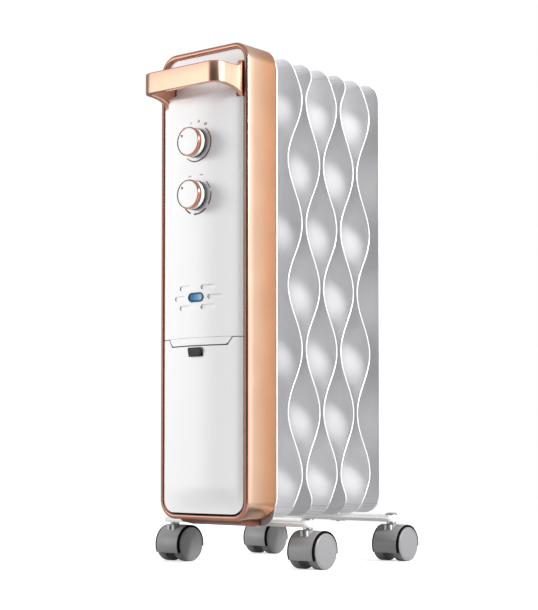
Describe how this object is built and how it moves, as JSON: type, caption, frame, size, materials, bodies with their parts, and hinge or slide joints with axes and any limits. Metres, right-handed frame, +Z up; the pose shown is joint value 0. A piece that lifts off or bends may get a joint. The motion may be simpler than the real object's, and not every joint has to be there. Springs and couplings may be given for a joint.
{
  "type": "oil filled radiator heater",
  "caption": "Upright oil filled radiator heater with wavy fins, a rose gold framed control box, handle, two knobs, cord compartment and twin-wheel casters.",
  "frame": {"origin": "on the floor, at the middle of the whole object's box", "axes": "+Z up, +Y from the control box to the last fin, +X to the right of someone facing the controls"},
  "size_m": [0.2656, 0.339, 0.65],
  "materials": {
    "fin_enamel": "white heat-proof enamel, satin",
    "rose_gold": "rose gold metallic lacquer, semi-gloss",
    "rose_gold_trim": "metallised rose gold trim",
    "gloss_white": "polished white",
    "grey_plastic": "fine matte",
    "grey_plate": "grey powder coat",
    "black_plastic": "satin black",
    "blue_lens": "clear tinted lens",
    "zinc_steel": "zinc plated",
    "bracket_enamel": "white enamel",
    "caster_grey": "satin grey",
    "wheel_grey": "satin grey, dark edge"
  },
  "bodies": {
    "heater": {"fin_1": "fin_enamel", "fin_2": "fin_enamel", "fin_3": "fin_enamel", "fin_4": "fin_enamel", "fin_5": "fin_enamel", "fin_6": "fin_enamel", "fin_7": "fin_enamel", "top_oil_header": "fin_enamel", "bottom_oil_header": "fin_enamel", "oil_fill_plug": "zinc_steel", "heating_element": "zinc_steel", "copper_shell": "rose_gold", "control_panel": "gloss_white", "latch_housing": "gloss_white", "door_hinge_rod": "zinc_steel", "cord_bay": "grey_plastic", "cord_gland": "black_plastic", "handle": "rose_gold", "rear_bulkhead": "grey_plate", "base_skirt": "grey_plastic", "power_switch": "black_plastic", "thermostat_body": "black_plastic", "lamp_lens": "blue_lens", "thermal_cutout": "black_plastic", "terminal_block": "grey_plastic", "tilt_switch": "black_plastic", "front_bracket": "bracket_enamel", "front_hook_bolt": "zinc_steel", "front_wing_nut": "zinc_steel", "front_left_stem": "zinc_steel", "front_right_stem": "zinc_steel", "rear_bracket": "bracket_enamel", "rear_hook_bolt": "zinc_steel", "rear_wing_nut": "zinc_steel", "rear_left_stem": "zinc_steel", "rear_right_stem": "zinc_steel"},
    "power_knob": {"power_knob": "gloss_white", "power_knob_ring": "rose_gold_trim", "power_shaft": "zinc_steel"},
    "thermostat_knob": {"thermostat_knob": "gloss_white", "thermostat_knob_ring": "rose_gold_trim", "thermostat_shaft": "zinc_steel"},
    "cord_door": {"cord_door": "gloss_white"},
    "door_latch": {"door_latch": "black_plastic"},
    "front_left_caster": {"front_left_hood": "caster_grey", "front_left_axle": "zinc_steel"},
    "front_left_wheel_left": {"front_left_wheel_left": "wheel_grey"},
    "front_left_wheel_right": {"front_left_wheel_right": "wheel_grey"},
    "front_right_caster": {"front_right_hood": "caster_grey", "front_right_axle": "zinc_steel"},
    "front_right_wheel_left": {"front_right_wheel_left": "wheel_grey"},
    "front_right_wheel_right": {"front_right_wheel_right": "wheel_grey"},
    "rear_left_caster": {"rear_left_hood": "caster_grey", "rear_left_axle": "zinc_steel"},
    "rear_left_wheel_left": {"rear_left_wheel_left": "wheel_grey"},
    "rear_left_wheel_right": {"rear_left_wheel_right": "wheel_grey"},
    "rear_right_caster": {"rear_right_hood": "caster_grey", "rear_right_axle": "zinc_steel"},
    "rear_right_wheel_left": {"rear_right_wheel_left": "wheel_grey"},
    "rear_right_wheel_right": {"rear_right_wheel_right": "wheel_grey"}
  },
  "joints": [
    {"name": "front_left_swivel", "type": "hinge", "parent": "heater", "child": "front_left_caster", "pos_m": [-0.1108, -0.0521, 0.03], "axis": [0, 0, 1], "continuous": true},
    {"name": "front_left_wheel_left_spin", "type": "hinge", "parent": "front_left_caster", "child": "front_left_wheel_left", "pos_m": [-0.1108, -0.0431, 0.0225], "axis": [1, 0, 0], "continuous": true},
    {"name": "front_left_wheel_right_spin", "type": "hinge", "parent": "front_left_caster", "child": "front_left_wheel_right", "pos_m": [-0.1108, -0.0431, 0.0225], "axis": [1, 0, 0], "continuous": true},
    {"name": "front_right_swivel", "type": "hinge", "parent": "heater", "child": "front_right_caster", "pos_m": [0.1108, -0.0521, 0.03], "axis": [0, 0, 1], "continuous": true},
    {"name": "front_right_wheel_left_spin", "type": "hinge", "parent": "front_right_caster", "child": "front_right_wheel_left", "pos_m": [0.1108, -0.0431, 0.0225], "axis": [1, 0, 0], "continuous": true},
    {"name": "front_right_wheel_right_spin", "type": "hinge", "parent": "front_right_caster", "child": "front_right_wheel_right", "pos_m": [0.1108, -0.0431, 0.0225], "axis": [1, 0, 0], "continuous": true},
    {"name": "rear_left_swivel", "type": "hinge", "parent": "heater", "child": "rear_left_caster", "pos_m": [-0.1108, 0.1281, 0.03], "axis": [0, 0, 1], "continuous": true},
    {"name": "rear_left_wheel_left_spin", "type": "hinge", "parent": "rear_left_caster", "child": "rear_left_wheel_left", "pos_m": [-0.1108, 0.1371, 0.0225], "axis": [1, 0, 0], "continuous": true},
    {"name": "rear_left_wheel_right_spin", "type": "hinge", "parent": "rear_left_caster", "child": "rear_left_wheel_right", "pos_m": [-0.1108, 0.1371, 0.0225], "axis": [1, 0, 0], "continuous": true},
    {"name": "rear_right_swivel", "type": "hinge", "parent": "heater", "child": "rear_right_caster", "pos_m": [0.1108, 0.1281, 0.03], "axis": [0, 0, 1], "continuous": true},
    {"name": "rear_right_wheel_left_spin", "type": "hinge", "parent": "rear_right_caster", "child": "rear_right_wheel_left", "pos_m": [0.1108, 0.1371, 0.0225], "axis": [1, 0, 0], "continuous": true},
    {"name": "rear_right_wheel_right_spin", "type": "hinge", "parent": "rear_right_caster", "child": "rear_right_wheel_right", "pos_m": [0.1108, 0.1371, 0.0225], "axis": [1, 0, 0], "continuous": true},
    {"name": "power_knob_turn", "type": "hinge", "parent": "heater", "child": "power_knob", "pos_m": [0, -0.136, 0.5284], "axis": [0, 1, 0], "range_deg": [0, 90]},
    {"name": "thermostat_knob_turn", "type": "hinge", "parent": "heater", "child": "thermostat_knob", "pos_m": [0, -0.136, 0.4627], "axis": [0, 1, 0], "range_deg": [0, 270]},
    {"name": "cord_door_hinge", "type": "hinge", "parent": "heater", "child": "cord_door", "pos_m": [0, -0.117, 0.0875], "axis": [1, 0, 0], "range_deg": [0, 85]},
    {"name": "door_latch_slide", "type": "slide", "parent": "cord_door", "child": "door_latch", "axis": [0, 0, -1], "range_m": [0, 0.003], "stiffness_N_per_m": 200}
  ]
}
